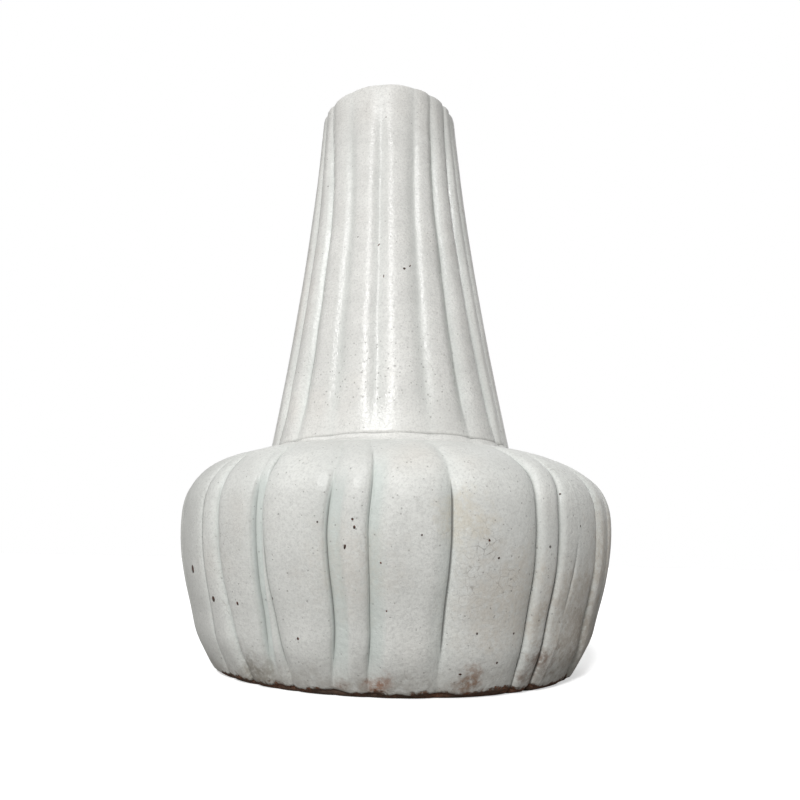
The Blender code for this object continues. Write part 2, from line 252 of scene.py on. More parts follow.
def pleating_tree():
    """Lofts the rows of a wall round its axis and presses the creases into it."""
    tree = bpy.data.node_groups.new("pleated_wall", "GeometryNodeTree")
    tree.is_modifier = True
    socket_of(tree, "Loom", GEOMETRY_SOCKET)
    socket_of(tree, "Columns", INT_SOCKET, default=16)
    for name, default in PLEAT_DEFAULTS.items():
        socket_of(tree, name, FLOAT_SOCKET, default=default)
    socket_of(tree, "Finish", MATERIAL_SOCKET)
    socket_of(tree, "Wall", GEOMETRY_SOCKET, "OUTPUT")
    given = inputs_of(tree)

    def named(name):
        return add(tree, "GeometryNodeInputNamedAttribute", {"Name": name}, data_type="FLOAT")

    is_crease = named("is_crease").apply("GREATER_THAN", 0.5)
    creases = add(tree, "GeometryNodeSeparateGeometry", {"Geometry": given["Loom"], "Selection": is_crease})
    rows = creases.beside("Inverted")

    def counted(geometry):
        return add(tree, "GeometryNodeAttributeDomainSize", {"Geometry": geometry}, "Point Count")

    row_count = counted(rows)
    column_count = (counted(creases) - 1.0) * given["Columns"]
    grid = add(tree, "GeometryNodeMeshGrid", {
        "Size X": column_count, "Size Y": row_count - 1.0,
        "Vertices X": column_count + 1.0, "Vertices Y": row_count})
    index = add(tree, "GeometryNodeInputIndex")
    column = ((index + 0.5) / row_count).apply("FLOOR")
    row = index - column * row_count

    def sampled(geometry, name, index):
        return add(tree, "GeometryNodeSampleIndex",
                   {"Geometry": geometry, "Value": named(name), "Index": index}, data_type="FLOAT")

    at_row = {name: sampled(rows, name, row) for name in Row._fields}
    lobe = (column / given["Columns"] + 0.001).apply("FLOOR").apply("MINIMUM", counted(creases) - 2.0)
    even = column / given["Columns"] - lobe
    bunched = (even * math.pi).apply("COSINE") * -0.5 + 0.5
    share = even.blend(bunched, BUNCHING)
    left = {name: sampled(creases, name, lobe) for name in Crease._fields}
    right = {name: sampled(creases, name, lobe + 1.0) for name in Crease._fields}

    def turned(crease):
        line = add(tree, "ShaderNodeCombineXYZ", {
            "X": crease["azimuth"].apply("SINE"), "Y": crease["azimuth"].apply("COSINE"),
            "Z": at_row["height"] / WAVER_LENGTH})
        waver = add(tree, "ShaderNodeTexNoise", {"Vector": line, "Scale": 1.6, "Detail": 1.0})
        swung = crease["drift"] * at_row["drift"] + crease["sway"] * at_row["sway"]
        swung = swung + crease["over"] * at_row["over"]
        return crease["azimuth"] + swung + (waver - 0.5) * given["Waver"]

    start, end = turned(left), turned(right)
    azimuth = start.blend(end, share)
    from_left = (azimuth - start) * at_row["radius"]
    from_right = (end - azimuth) * at_row["radius"]
    lobe_width = (end - start) * at_row["radius"]

    crest = (lobe_width / given["Full Lobe"]).apply("MINIMUM", 1.0)
    sharp = (share * 2.0 - 1.0).apply("ABSOLUTE").apply("POWER", given["Arch Power"])
    arch = sharp.blend((sharp * math.pi).apply("COSINE") * -0.5 + 0.5, given["Softness"])
    valley = left["valley"].blend(right["valley"], share) * (arch.flipped() * crest).flipped()

    def run_of(crease):
        rise = at_row["level"].ramp(crease["bottom"], crease["bottom"] + RUN_IN)
        return rise * at_row["level"].ramp(crease["top"] - RUN_OUT, crease["top"]).flipped()

    def cut_of(crease, distance):
        return crease["cut"] * run_of(crease) * (distance / crease["width"] * -1.0).apply("EXPONENT")

    def channel_of(crease, distance, side):
        reach = (crease["reach"] * side).apply("MAXIMUM", 0.00001)
        floor = distance.ramp(reach * CHANNEL_FLOOR, reach * CHANNEL_BANK).flipped()
        on_this_side = (crease["reach"] * side).apply("GREATER_THAN", 0.0)
        return crease["channel"] * run_of(crease) * floor * on_this_side

    cut = cut_of(left, from_left) + cut_of(right, from_right)
    channel = channel_of(left, from_left, 1.0) + channel_of(right, from_right, -1.0)
    pressed = (valley + cut + channel) * at_row["press"]

    sine, cosine = azimuth.apply("SINE"), azimuth.apply("COSINE")
    turned_place = add(tree, "ShaderNodeCombineXYZ", {
        "X": sine * at_row["radius"], "Y": cosine * at_row["radius"] * -1.0, "Z": at_row["height"]})
    lump = add(tree, "ShaderNodeTexNoise",
               {"Vector": turned_place, "Scale": given["Lump Scale"], "Detail": 2.0, "Roughness": 0.45})
    ring = add(tree, "ShaderNodeCombineXYZ", {"X": sine, "Y": cosine})
    wander = add(tree, "ShaderNodeTexNoise", {"Vector": ring, "Scale": 9.0, "Detail": 4.0, "Roughness": 0.6})
    push = (lump - 0.5) * given["Lump Height"] * 2.0 - pressed
    creep = (wander - 0.46).apply("MAXIMUM", 0.0) * given["Ragged Height"] * at_row["ragged"]
    radius = at_row["radius"] + push * at_row["out"] - creep * at_row["up"]
    height = at_row["height"] + push * at_row["up"] + creep * at_row["out"]
    side = sine * radius
    spot = add(tree, "ShaderNodeCombineXYZ", {
        "X": at_row["centre"] + side,
        "Y": cosine * radius * -1.0,
        "Z": height + side * at_row["lean"] * given["Lean"],
    })
    wall = add(tree, "GeometryNodeSetPosition", {"Geometry": grid, "Position": spot})
    pool = channel * POOL_PER_CHANNEL + cut * POOL_PER_CUT + valley * POOL_PER_VALLEY
    # The root mask carries the painted shade laid into the roots of the creases.
    masks = {
        "pool": pool * at_row["press"],
        "root": cut * at_row["press"] / MM,
        "crest": arch.flipped() * at_row["press"],
    }
    for name, value in masks.items():
        wall = add(tree, "GeometryNodeStoreNamedAttribute",
                   {"Geometry": wall, "Name": name, "Value": value}, data_type="FLOAT", domain="POINT")
    wall = add(tree, "GeometryNodeMergeByDistance", {"Geometry": wall, "Distance": MERGE_DISTANCE})
    faces_beside = add(tree, "GeometryNodeInputMeshEdgeNeighbors")
    wall = add(tree, "GeometryNodeDeleteGeometry",
               {"Geometry": wall, "Selection": faces_beside.apply("LESS_THAN", 0.5)},
               domain="EDGE", mode="EDGE_FACE")
    wall = add(tree, "GeometryNodeSetShadeSmooth", {"Geometry": wall, "Shade Smooth": True})
    wall = add(tree, "GeometryNodeRealizeInstances", {"Geometry": wall})
    wall = add(tree, "GeometryNodeSetMaterial", {"Geometry": wall, "Material": given["Finish"]})
    plug(tree, wall, tree.nodes.new("NodeGroupOutput").inputs["Wall"])
    return tree


def kept(collection, name, make):
    """The named tree, made when it is first asked for."""
    return collection.get(name) or make()


def link(piece):
    """Puts a new object in the scene."""
    bpy.context.scene.collection.objects.link(piece)
    return piece


def loom(rows, creases):
    """A mesh whose points carry the rows of a wall, and after them its creases."""
    mesh = bpy.data.meshes.new("loom")
    points = [(row.radius, 0.0, row.height) for row in rows]
    points += [(math.sin(crease.azimuth), -math.cos(crease.azimuth), 0.0) for crease in creases]
    mesh.from_pydata(points, [], [])
    tables = {"is_crease": [0.0] * len(rows) + [1.0] * len(creases)}
    for name in Row._fields:
        tables[name] = [getattr(row, name) for row in rows] + [0.0] * len(creases)
    for name in Crease._fields:
        values = tables.get(name, [0.0] * (len(rows) + len(creases)))
        values[len(rows):] = [getattr(crease, name) for crease in creases]
        tables[name] = values
    for name, values in tables.items():
        mesh.attributes.new(name, "FLOAT", "POINT").data.foreach_set("value", values)
    return mesh


def pleated_wall(name, rows, creases, finish, **inputs):
    """A wall through closed rows, as a plain mesh at the origin."""
    tree = kept(bpy.data.node_groups, "pleated_wall", pleating_tree)
    wire = link(bpy.data.objects.new(name, loom(list(rows) + [rows[0]], creases)))
    modifier = wire.modifiers.new("pleats", "NODES")
    modifier.node_group = tree
    settings = dict(inputs, Finish=finish, Lean=math.tan(NECK_LEAN))
    for socket in tree.interface.items_tree:
        label = socket.name.replace(" ", "_")
        if socket.in_out == "INPUT" and label in settings:
            modifier[socket.identifier] = settings[label]
    graph = bpy.context.evaluated_depsgraph_get()
    mesh = bpy.data.meshes.new_from_object(wire.evaluated_get(graph))
    mesh.name = name
    mesh.materials.clear()
    mesh.materials.append(finish)
    wire.modifiers.remove(modifier)
    wire.data = mesh
    return wire


def smooth_step(low, high, value):
    """0 below low and 1 above high, with a soft rise between."""
    t = min(max((value - low) / (high - low), 0.0), 1.0)
    return t * t * (3.0 - 2.0 * t)


def spread(low, high, count):
    """Evenly spaced values from low to high."""
    return [low + (high - low) * i / (count - 1) for i in range(count)]


# ---- rows and creases

TUCK_POWER = 1.8
HIP_BULGE = 1.1 * MM
HIP_LEVEL = -0.78
HIP_WIDTH = 0.13
SHOULDER_POWER = 2.6
NECK_BASE_TAPER = 0.164
SWAY_CENTRE = 55.0 * MM
SWAY_LENGTH = 80.0 * MM
# Levels between which the pleats of the body die out, stand up from the foot, and follow the neck.
BODY_PLEATS_END = (0.26, 0.84)
BODY_PLEATS_START = (-1.0, -0.82)
NECK_PULL = (0.25, 0.75)
NECK_TILT = (0.2, 0.7)
# Shares of the neck's length between which its flutes stand up from the seam and soften to the rim.
FLUTES_START = (0.0, 0.12)
FLUTES_SOFTEN = (0.72, 1.0)
FLUTES_TURN = (0.55, 1.0)


def body_outline(sizes, level):
    """Radius and height of the body's crest: -1 is the foot, 0 the belly, 1 the crown."""
    if level < 0.0:
        tuck = sizes.foot_tuck * (-level) ** TUCK_POWER
        hip = HIP_BULGE * math.exp(-((level - HIP_LEVEL) / HIP_WIDTH) ** 2)
        return sizes.belly_radius - tuck + hip, sizes.belly_height * (1.0 + level)
    angle = level * math.pi / 2.0
    power = 2.0 / SHOULDER_POWER
    reach = sizes.belly_radius - sizes.crown_radius
    radius = sizes.belly_radius - reach * (1.0 - math.cos(angle) ** power)
    return radius, sizes.belly_height + sizes.shoulder_rise * math.sin(angle) ** power


def shoulder_level(sizes, radius):
    """The level at which the shoulder has a radius."""
    share = (radius - sizes.crown_radius) / (sizes.belly_radius - sizes.crown_radius)
    return math.acos(share ** (SHOULDER_POWER / 2.0)) * 2.0 / math.pi


def level_at(sizes, height):
    """The level of a height at or below the belly."""
    return height / sizes.belly_height - 1.0


def neck_shift(sizes):
    """How far the foot of the neck stands from the body's axis."""
    return RIM_CENTRE.x + math.sin(NECK_LEAN) * sizes.neck_length


def seat_height(sizes):
    """Height at which the neck stands on the shoulder."""
    return RIM_CENTRE.z - math.cos(NECK_LEAN) * sizes.neck_length


def body_row(sizes, level, offset, press=1.0, ragged=0.0):
    """A row on the body's outline, offset outwards along its normal."""
    step = 0.002
    radius, height = body_outline(sizes, level)
    low, high = body_outline(sizes, level - step), body_outline(sizes, level + step)
    normal = Vector((high[1] - low[1], low[0] - high[0])).normalized()
    fade = 1.0 - smooth_step(*BODY_PLEATS_END, level)
    foot = 0.5 + 0.5 * smooth_step(*BODY_PLEATS_START, level)
    height += normal.y * offset
    return Row(
        radius=radius + normal.x * offset, height=max(height, 0.0), out=normal.x, up=normal.y,
        level=level, press=press * fade * foot, centre=neck_shift(sizes) * smooth_step(*NECK_PULL, level),
        lean=0.6 * smooth_step(*NECK_TILT, level), drift=max(-level, 0.0) ** 1.5,
        sway=math.cos(2.0 * math.pi * (height - SWAY_CENTRE) / SWAY_LENGTH), over=max(level, 0.0),
        ragged=ragged)


def plain_row(radius, height, drift=1.0):
    """A round row on the body's axis, with no pleats."""
    return Row(radius, height, out=0.0, up=1.0, level=-1.0, press=0.0, centre=0.0, lean=0.0, drift=drift,
               sway=0.0, over=0.0, ragged=0.0)


def neck_radius(sizes, height):
    """Crest radius of the neck, a little hollow between seam and rim."""
    straight = sizes.neck_base_radius - NECK_BASE_TAPER * height
    ease = sizes.neck_rim_radius - sizes.neck_base_radius + NECK_BASE_TAPER * sizes.neck_length
    return straight + ease * (height / sizes.neck_length) ** 2


def neck_row(sizes, height, offset, press=1.0):
    """A row on the neck, at a height above its seat along its leaning axis."""
    share = height / sizes.neck_length
    fade = (0.3 + 0.7 * smooth_step(*FLUTES_START, share)) * (1.0 - 0.75 * smooth_step(*FLUTES_SOFTEN, share))
    return Row(
        radius=neck_radius(sizes, height) + offset,
        height=seat_height(sizes) + math.cos(NECK_LEAN) * height, out=1.0, up=0.0,
        level=share, press=press * fade, centre=neck_shift(sizes) - math.sin(NECK_LEAN) * height,
        lean=1.0, drift=smooth_step(*FLUTES_TURN, share), sway=(1.0 - share) ** 2, over=0.0, ragged=0.0)


def crease(azimuth, drift, sway, over, valley, cut, width, channel=0.0, reach=0.0, bottom=-1.0, top=2.0):
    """A crease from angles in degrees and depths in mm."""
    angles = (math.radians(angle) for angle in (azimuth, drift, sway, over))
    depths = (depth * MM for depth in (valley, cut, width, channel, reach))
    return Crease(*angles, *depths, bottom, top)


# Creases across the front of the body, in degrees and mm: azimuth, drift towards the foot, sway at the
# belly, drift over the shoulder, depth of the valley, depth and width of the cut, depth and reach of
# the channel beside it (to the right where positive), and the levels between which cut and channel run.
FRONT_CREASES = (
    (-48.8, -1.8, -0.2, 0.0, 0.5, 1.1, 0.75, 0.0, 0.0, -1.4, 0.95),
    (-43.8, 4.2, 0.2, 0.0, 1.3, 0.5, 1.60, 0.7, 3.0, -1.3, 0.80),
    (-31.3, -0.4, -0.3, 0.0, 1.1, 0.7, 0.50, 2.0, 4.4, -1.0, 0.34),
    (-28.9, 3.6, -0.2, 0.0, 1.4, 0.85, 0.50, 0.0, 0.0, -1.1, 1.0),
    (-13.2, -1.8, -0.8, 0.0, 1.3, 0.90, 0.40, 1.6, 6.0, -1.02, 0.30),
    (-5.2, -0.8, -0.2, 0.0, 1.2, 0.80, 0.40, 1.4, 5.0, -1.02, 0.46),
    (10.8, 0.2, 0.5, 1.0, 1.7, 1.15, 0.42, 0.4, -5.0, -0.95, 0.34),
    (30.7, 1.5, 0.4, 2.0, 1.9, 1.2, 0.45, 0.0, 0.0, -1.3, 0.62),
    (37.2, 1.6, 0.5, 6.0, 2.1, 1.9, 0.55, 0.0, 0.0, -1.4, 0.80),
    (43.0, -1.5, 0.6, 0.0, 0.1, 0.8, 0.60, 0.0, 0.0, -0.66, -0.02),
    (53.4, 5.5, 1.0, 0.0, 2.4, 2.2, 0.60, 0.5, 3.5, -1.4, 0.95),
)
REAR_LOBES = (11.5, 8.0, 17.0, 7.0, 14.0, 18.0, 8.0, 13.0, 16.0, 6.0, 15.0, 11.0, 19.0, 8.0, 14.0,
              9.0, 16.0, 7.0, 20.0)

# Creases round the neck: azimuth, drift at the rim, sway at the base, valley, cut and its width.
NECK_CREASES = (
    (-60.0, -7.0, 0.0, 1.9, 0.9, 1.2), (-43.5, -10.0, 0.0, 2.3, 0.7, 1.2), (-25.0, -6.0, 0.0, 1.45, 0.2, 2.6),
    (-5.5, 0.0, 0.0, 1.2, 0.1, 3.0), (16.5, 4.0, 0.0, 1.35, 0.2, 2.6), (33.0, 3.0, 3.0, 2.2, 0.6, 1.4),
    (50.5, 3.0, 6.0, 2.6, 1.3, 1.0), (64.0, 0.0, 4.0, 2.1, 1.2, 1.0), (82.0, 2.0, 2.0, 1.2, 0.4, 1.5),
    (104.0, -4.0, 1.0, 1.5, 0.8, 1.2), (119.0, 2.0, -2.0, 1.0, 0.3, 2.0), (139.0, -3.0, 2.0, 1.4, 0.7, 1.2),
    (160.0, 3.0, 0.0, 0.9, 0.2, 2.5), (177.0, -2.0, -3.0, 1.5, 0.8, 1.2), (195.0, 4.0, 2.0, 1.2, 0.4, 1.6),
    (217.0, 0.0, 0.0, 0.8, 0.1, 3.0), (233.0, -4.0, -2.0, 1.6, 0.9, 1.1), (248.0, 2.0, 2.0, 1.1, 0.3, 2.0),
    (268.0, -2.0, 0.0, 1.4, 0.6, 1.4), (284.0, -5.0, 0.0, 1.2, 0.4, 1.6),
)


def closed_ring(creases):
    """The creases with the first one again at the end, a full turn on."""
    first = creases[0]
    return creases + [first._replace(azimuth=first.azimuth + 2.0 * math.pi)]


def body_creases():
    """The front creases as listed, and the rear ones pressed by the same hand."""
    creases = [crease(*numbers) for numbers in FRONT_CREASES]
    chance = random.Random(7)
    azimuth = FRONT_CREASES[-1][0]
    for width in REAR_LOBES:
        azimuth += width
        channel = chance.choice((0.0, 0.0, 0.9, 1.3))
        creases.append(crease(
            azimuth, chance.uniform(-2.0, 2.0), chance.uniform(-1.0, 1.0), chance.uniform(-2.0, 2.0),
            chance.uniform(1.2, 2.1),
            chance.uniform(0.6, 1.9), chance.uniform(0.6, 1.3), channel, chance.choice((-4.5, 4.5)),
            chance.uniform(-1.3, -0.9), chance.choice((0.2, 0.42, 0.6, 0.75))))
    return closed_ring(creases)


def neck_creases():
    """The creases of the neck as listed."""
    return closed_ring([crease(azimuth, drift, sway, 0.0, valley, cut, width)
                        for azimuth, drift, sway, valley, cut, width in NECK_CREASES])


# ---- materials

def shader_group(name, inputs, outputs):
    """An empty shader group with its sockets, and its inputs as terms."""
    tree = bpy.data.node_groups.new(name, "ShaderNodeTree")
    for label, default in inputs.items():
        socket_of(tree, label, FLOAT_SOCKET, default=default)
    for label in outputs:
        socket_of(tree, label, FLOAT_SOCKET, "OUTPUT")
    return tree, inputs_of(tree)


def finish_group(tree, results):
    end = tree.nodes.new("NodeGroupOutput")
    for name, value in results.items():
        plug(tree, value, end.inputs[name])
    return tree


def object_place(tree):
    return add(tree, "ShaderNodeTexCoord", output="Object")


def noise(tree, place, scale, detail=2.0, roughness=0.5):
    return add(tree, "ShaderNodeTexNoise", {
        "Vector": place, "Scale": scale, "Detail": detail, "Roughness": roughness})


def speckle_group():
    """Round specks: one in some of the cells of a random pattern."""
    tree, given = shader_group("glaze_specks", {"Scale": 300.0, "Size": 0.2, "Share": 0.2}, ("Mask",))
    cells = add(tree, "ShaderNodeTexVoronoi", {"Vector": object_place(tree), "Scale": given["Scale"]},
                "Distance")
    pick = add(tree, "ShaderNodeSeparateColor", {"Color": cells.beside("Color")})
    size = pick.beside("Green") * given["Size"]
    spot = cells.ramp(size * 0.55, size).flipped()
    return finish_group(tree, {"Mask": spot * pick.apply("LESS_THAN", given["Share"])})


def crackle_group():
    """Fine crazing, everywhere and only in patches."""
    tree, given = shader_group("glaze_crackle", {"Scale": 160.0, "Width": 0.02, "Cover": 0.5},
                               ("Lines", "Mask"))
    place = object_place(tree)
    edges = add(tree, "ShaderNodeTexVoronoi", {"Vector": place, "Scale": given["Scale"]}, "Distance",
                feature="DISTANCE_TO_EDGE")
    line = edges.ramp(given["Width"] * 0.3, given["Width"]).flipped()
    broken = line * noise(tree, place, 300.0, 2.0).ramp(0.35, 0.6)
    patch = noise(tree, place, 26.0, 3.0, 0.6).ramp(given["Cover"], given["Cover"] + 0.14)
    return finish_group(tree, {"Lines": broken, "Mask": broken * patch})


def patch_group():
    """A cloudy patch round one spot."""
    tree, given = shader_group("glaze_patch", {"X": 0.0, "Y": -0.1, "Z": 0.05, "Radius": 0.01}, ("Mask",))
    place = object_place(tree)
    centre = add(tree, "ShaderNodeCombineXYZ", {axis: given[axis] for axis in "XYZ"})
    away = add(tree, "ShaderNodeVectorMath", {0: place, 1: centre}, "Value", operation="DISTANCE")
    ragged = noise(tree, place, 150.0, 5.0, 0.7)
    near = (away / given["Radius"] + (ragged - 0.5) * 2.2).ramp(0.25, 1.1).flipped()
    return finish_group(tree, {"Mask": near * noise(tree, place, 520.0, 3.0, 0.7).ramp(0.25, 0.6)})


def skin_group():
    """Height of the glaze's skin: slow waves, orange peel and the grit of the clay below."""
    tree, given = shader_group("glaze_skin", {"Wave": 0.5, "Peel": 0.3, "Grit": 0.2}, ("Height",))
    place = object_place(tree)
    wave = noise(tree, place, 90.0, 2.0) * given["Wave"]
    peel = noise(tree, place, 650.0, 2.0) * given["Peel"]
    grit = noise(tree, place, 2600.0, 1.0) * given["Grit"]
    return finish_group(tree, {"Height": wave + peel + grit})


def foot_group():
    """Masks of the foot: where clay shows through the thin edge of the glaze, and the dark band above."""
    tree, given = shader_group("foot_wear", {"Height": 0.004, "Spread": 0.004, "Stain": 0.02},
                               ("Bare", "Stain"))
    place = object_place(tree)
    z = add(tree, "ShaderNodeSeparateXYZ", {0: place}, "Z")
    ragged = noise(tree, place, 90.0, 4.0, 0.65)
    fine = noise(tree, place, 420.0, 3.0, 0.6)
    edge = given["Height"] + ((ragged - 0.5) * 4.0 + (fine - 0.5) * 2.0) * given["Spread"]
    bare = z.ramp(edge - 0.0006, edge + 0.0006).flipped()
    stain = (z / given["Stain"] + (ragged - 0.5) * 1.6).ramp(0.0, 1.0).flipped()
    return finish_group(tree, {"Bare": bare, "Stain": stain * fine.ramp(0.2, 0.6)})


def group_in(tree, name, make, inputs, output):
    """Places a shared shader group in a material, with its own values."""
    node = tree.nodes.new("ShaderNodeGroup")
    node.node_tree = kept(bpy.data.node_groups, name, make)
    for label, value in inputs.items():
        plug(tree, value, node.inputs[label])
    return Term(tree, node.outputs[output])


# A mix node keeps its colour sockets at these places.
COLOUR_MIX_INPUTS, COLOUR_MIX_OUTPUT = (0, 6, 7), 2


def specks_in(tree, scale, size, share):
    """Mask of the shared speckle, at a scale of its own."""
    inputs = {"Scale": scale, "Size": size, "Share": share}
    return group_in(tree, "glaze_specks", speckle_group, inputs, "Mask")


def mixed(tree, first, second, share):
    """The first colour where share is 0, and the second where it is 1."""
    ends = (value if isinstance(value, Term) else (*value, 1.0) for value in (first, second))
    inputs = dict(zip(COLOUR_MIX_INPUTS, (share, *ends)))
    return add(tree, "ShaderNodeMix", inputs, COLOUR_MIX_OUTPUT, data_type="RGBA", clamp_factor=True)


def shaded(colour, amount):
    """The same colour, brighter or darker."""
    return tuple(min(channel * amount, 1.0) for channel in colour)


def seen_by_camera(tree, seen, others):
    """One shader for what the camera sees, and another for all other light."""
    pick = tree.nodes.new("ShaderNodeMixShader")
    plug(tree, add(tree, "ShaderNodeLightPath", output="Is Camera Ray"), pick.inputs[0])
    tree.links.new(others.outputs[0], pick.inputs[1])
    tree.links.new(seen.outputs[0], pick.inputs[2])
    return pick.outputs[0]


def blank_material(name):
    finish = bpy.data.materials.new(name)
    finish.use_nodes = True
    tree = finish.node_tree
    return finish, tree, tree.nodes["Principled BSDF"]


def attribute(tree, name):
    return add(tree, "ShaderNodeAttribute", output="Fac", attribute_name=name)


def bumped(tree, shader, height, distance):
    """Raises the surface of a shader by a height."""
    bump = add(tree, "ShaderNodeBump", {"Strength": 1.0, "Distance": distance, "Height": height})
    plug(tree, bump, shader.inputs["Normal"])


# Stains and warm patches in the body's glaze, and the dark patches at 46 to 62 degrees, which are partly
# painted shade where the body turns away from the light: azimuth in degrees, height and radius in mm, colour,
# share.
BODY_STAINS_AND_SHADE = (
    (17.5, 2.5, 7.5, (0.27, 0.135, 0.075), 0.85), (18.5, 9.0, 5.0, (0.34, 0.20, 0.13), 0.6),
    (-4.0, 1.0, 8.0, (0.33, 0.15, 0.085), 0.9), (-12.0, 1.0, 6.0, (0.22, 0.11, 0.07), 0.8),
    (13.5, 58.0, 12.0, (0.62, 0.55, 0.42), 0.45), (46.0, 25.0, 26.0, (0.42, 0.36, 0.29), 0.5),
    (58.0, 17.0, 22.0, (0.30, 0.25, 0.19), 0.5), (38.0, 9.0, 10.0, (0.20, 0.11, 0.07), 0.7),
    (24.0, 30.0, 24.0, (0.58, 0.51, 0.42), 0.4), (-36.0, 4.0, 12.0, (0.20, 0.17, 0.12), 0.6),
    (-9.0, 42.0, 20.0, (0.62, 0.57, 0.50), 0.3), (62.0, 50.0, 26.0, (0.50, 0.43, 0.35), 0.5),
    (120.0, 8.0, 14.0, (0.22, 0.12, 0.07), 0.7), (165.0, 30.0, 24.0, (0.60, 0.52, 0.43), 0.4),
    (215.0, 5.0, 16.0, (0.20, 0.11, 0.07), 0.7), (255.0, 40.0, 26.0, (0.60, 0.53, 0.44), 0.35),
)
# Crazed patches and pinholed patches: azimuth in degrees, height and radius in mm.
CRACKLE_PATCHES = ((17.0, 47.0, 14.0), (15.0, 34.0, 10.0), (23.0, 38.0, 8.0), (150.0, 50.0, 18.0))
PIT_PATCHES = ((-20.0, 118.0, 34.0), (12.0, 125.0, 36.0), (160.0, 130.0, 40.0))

# How far from the axis the middles of the patches lie, and a glaze edge that is nowhere on the piece.
BELLY_SKIN = 95.0 * MM
HIP_SKIN = 84.0 * MM
NECK_SKIN = 53.0 * MM
HIP_TOP = 20.0
NO_FOOT = -50.0 * MM
BUMP_DEPTH = 0.5 * MM


def patch_at(tree, azimuth, height, radius, reach):
    """Mask of one cloudy patch, its middle at a reach from the axis."""
    angle = math.radians(azimuth)
    return group_in(tree, "glaze_patch", patch_group, {
        "X": math.sin(angle) * reach, "Y": -math.cos(angle) * reach, "Z": height * MM,
        "Radius": radius * MM}, "Mask")


def glaze_material(name, base, colours, gloss, shine, pooling, speck_share, foot_edge=NO_FOOT, stained_and_shaded=False):
    """Grey-white glaze: greener where it pools, warmer on the crests, specked, crazed and worn, with painted
    shade at the roots of the creases, and on the body partly painted shade in some dark patches.
    """
    finish, tree, shader = blank_material(name)
    place = object_place(tree)
    pool = attribute(tree, "pool").apply("MINIMUM", 1.0)
    root = attribute(tree, "root")
    crest = attribute(tree, "crest")
    cloud = noise(tree, place, 34.0, 4.0, 0.6)
    mottle = noise(tree, place, 1100.0, 3.0, 0.75)
    freckle = noise(tree, place, 420.0, 4.0, 0.7)
    shade = mixed(tree, shaded(base, 0.92), shaded(base, 1.06), cloud.ramp(0.3, 0.7))
    for tint, share in (
        (shaded(base, 0.72), mottle.ramp(0.42, 0.72) * 0.66),
        (shaded(base, 0.84), freckle.ramp(0.48, 0.7) * 0.5),
        (colours.warm, crest * noise(tree, place, 18.0, 3.0).ramp(0.52, 0.78) * 0.30),
        (colours.pooled, pool * pooling),
    ):
        shade = mixed(tree, shade, tint, share)
    lines = group_in(tree, "glaze_crackle", crackle_group, {"Scale": 330.0, "Width": 0.05, "Cover": 0.58},
                     "Lines")
    crackle = lines.beside("Mask") * 0.6
    if stained_and_shaded:
        for azimuth, height, radius in CRACKLE_PATCHES:
            crackle = crackle.apply("MAXIMUM", lines * patch_at(tree, azimuth, height, radius, BELLY_SKIN))
        # Stains, and partly painted shade in the dark patches on the right side.
        for azimuth, height, radius, tint, share in BODY_STAINS_AND_SHADE:
            reach = BELLY_SKIN if height > HIP_TOP else HIP_SKIN
            shade = mixed(tree, shade, tint, patch_at(tree, azimuth, height, radius, reach) * share)
    shade = mixed(tree, shade, (0.20, 0.17, 0.14), crackle * 0.42)
    fine = specks_in(tree, 700.0, 0.30, speck_share)
    coarse = specks_in(tree, 130.0, 0.13, 0.03)
    specks = (fine * 0.35).apply("MAXIMUM", coarse * 0.8)
    if not stained_and_shaded:
        pits = specks_in(tree, 1000.0, 0.6, 0.16)
        for azimuth, height, radius in PIT_PATCHES:
            near = patch_at(tree, azimuth, height, radius, NECK_SKIN)
            specks = specks.apply("MAXIMUM", pits * near * 0.4)
    shade = mixed(tree, shade, colours.speck, specks)
    # Painted shade: darkens the roots of the cuts, where shadow falls in the creases.
    shade = mixed(tree, shade, colours.crease, root.ramp(0.35, 1.0) * 0.72)
    bare = group_in(tree, "foot_wear", foot_group, {"Height": foot_edge, "Spread": 0.0022, "Stain": 0.012},
                    "Bare")
    stain = bare.beside("Stain")
    shade = mixed(tree, shade, (0.24, 0.20, 0.15), stain * 0.42)
    shade = mixed(tree, shade, mixed(tree, colours.clay, colours.rust, freckle.ramp(0.45, 0.7)), bare)
    plug(tree, shade, shader.inputs["Base Color"])
    rough = cloud.ramp(0.3, 0.7, gloss * 0.85, gloss * 1.2)
    plug(tree, rough + bare * 0.5, shader.inputs["Roughness"])
    shader.inputs["IOR"].default_value = 1.5
    shader.inputs["Specular IOR Level"].default_value = shine
    skin = group_in(tree, "glaze_skin", skin_group, {"Wave": 0.55, "Peel": 0.30, "Grit": 0.08}, "Height")
    bumped(tree, shader, skin - specks * 0.4 - crackle * 0.1 - bare * 0.25, BUMP_DEPTH)
    return finish


def clay_material(name, colours):
    """Bare, gritty stoneware, rust brown with dark and pale grains."""
    finish, tree, shader = blank_material(name)
    place = object_place(tree)
    cloud = noise(tree, place, 60.0, 4.0, 0.65)
    grain = noise(tree, place, 900.0, 3.0, 0.7)
    shade = mixed(tree, colours.clay, colours.rust, cloud.ramp(0.38, 0.66))
    shade = mixed(tree, shade, shaded(colours.clay, 0.35), grain.ramp(0.5, 0.7) * 0.8)
    pale = specks_in(tree, 700.0, 0.4, 0.12)
    shade = mixed(tree, shade, (0.55, 0.45, 0.36), pale * 0.5)
    plug(tree, shade, shader.inputs["Base Color"])
    plug(tree, grain.ramp(0.2, 0.8, 0.75, 0.95), shader.inputs["Roughness"])
    bumped(tree, shader, grain * 0.7 + noise(tree, place, 260.0, 3.0) * 0.8 - pale * 0.3, 0.0006)
    return finish


def iron_material(name, colours):
    """Melted iron spots, nearly black in the middle and rusty at the rim."""
    finish, tree, shader = blank_material(name)
    patch = noise(tree, object_place(tree), 900.0, 2.0)
    shade = mixed(tree, colours.speck, (0.16, 0.05, 0.03), patch.ramp(0.45, 0.7))
    plug(tree, shade, shader.inputs["Base Color"])
    plug(tree, patch.ramp(0.3, 0.7, 0.25, 0.5), shader.inputs["Roughness"])
    return finish


